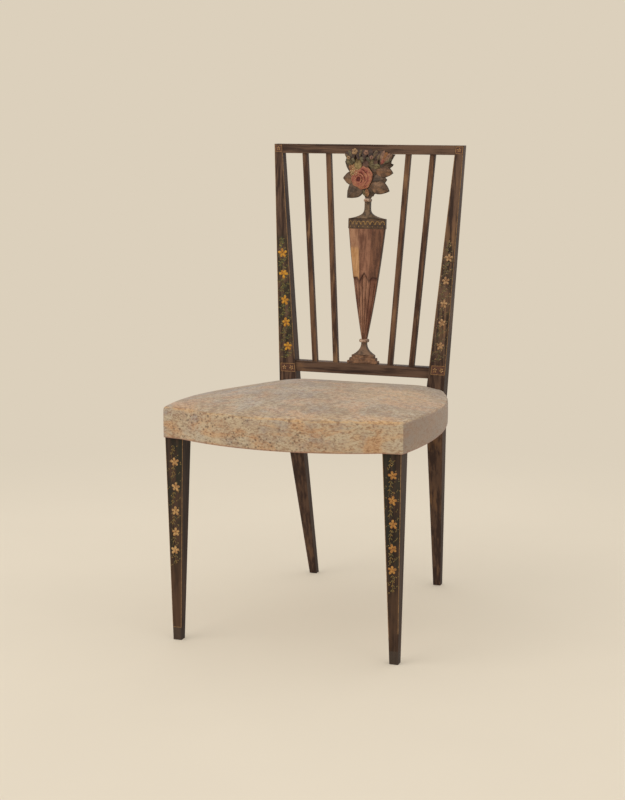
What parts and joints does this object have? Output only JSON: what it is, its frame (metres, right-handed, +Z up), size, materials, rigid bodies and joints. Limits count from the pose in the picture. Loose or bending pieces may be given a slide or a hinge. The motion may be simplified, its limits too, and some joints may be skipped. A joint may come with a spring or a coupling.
{
  "type": "painted side chair",
  "caption": "Painted wooden side chair with a square back, slender bars, a carved urn splat with a bouquet, tapered legs and an upholstered bow-front seat.",
  "frame": {"origin": "floor level, under the middle of the chair's outline in width and depth", "axes": "+Z up, the chair faces -Y, +X to the right of someone who looks at its front"},
  "size_m": [0.5024, 0.6284, 0.94],
  "materials": {
    "painted_frame": "dark brown-black paint with gold lines and flowers, worn to brown at the edges",
    "painted_bars": "reddish brown paint, slightly worn",
    "painted_splat": "carved and painted in red-brown, tan and rose",
    "bare_rails": "planed, unfinished",
    "screw_steel": "dull, darkened in the slot",
    "tack_iron": "blued, dull",
    "webbing": "plain woven jute",
    "linen": "unbleached plain weave",
    "curled_hair": "curled hair and tow",
    "seat_fabric": "small mottled pattern in tan, grey-lavender and peach, matt"
  },
  "bodies": {
    "root": {"rear_post_left": "painted_frame", "rear_post_right": "painted_frame", "front_leg_left": "painted_frame", "front_leg_right": "painted_frame", "crest_rail": "painted_frame", "lower_back_rail": "painted_frame", "back_bar_outer_left": "painted_bars", "back_bar_inner_left": "painted_bars", "back_bar_inner_right": "painted_bars", "back_bar_outer_right": "painted_bars", "urn_splat": "painted_splat", "seat_rail_front": "bare_rails", "seat_rail_left": "bare_rails", "seat_rail_right": "bare_rails", "seat_rail_rear": "bare_rails", "corner_block_front_left": "bare_rails", "corner_block_front_right": "bare_rails", "corner_block_rear_left": "bare_rails", "corner_block_rear_right": "bare_rails", "corner_block_screws": "screw_steel", "webbing_lengthwise": "webbing", "webbing_crosswise": "webbing", "webbing_tacks": "tack_iron", "cover_tacks": "tack_iron", "base_linen": "linen", "linen_undercover": "linen", "edge_roll": "linen", "seat_stuffing": "curled_hair", "seat_cover": "seat_fabric"}
  },
  "joints": []
}
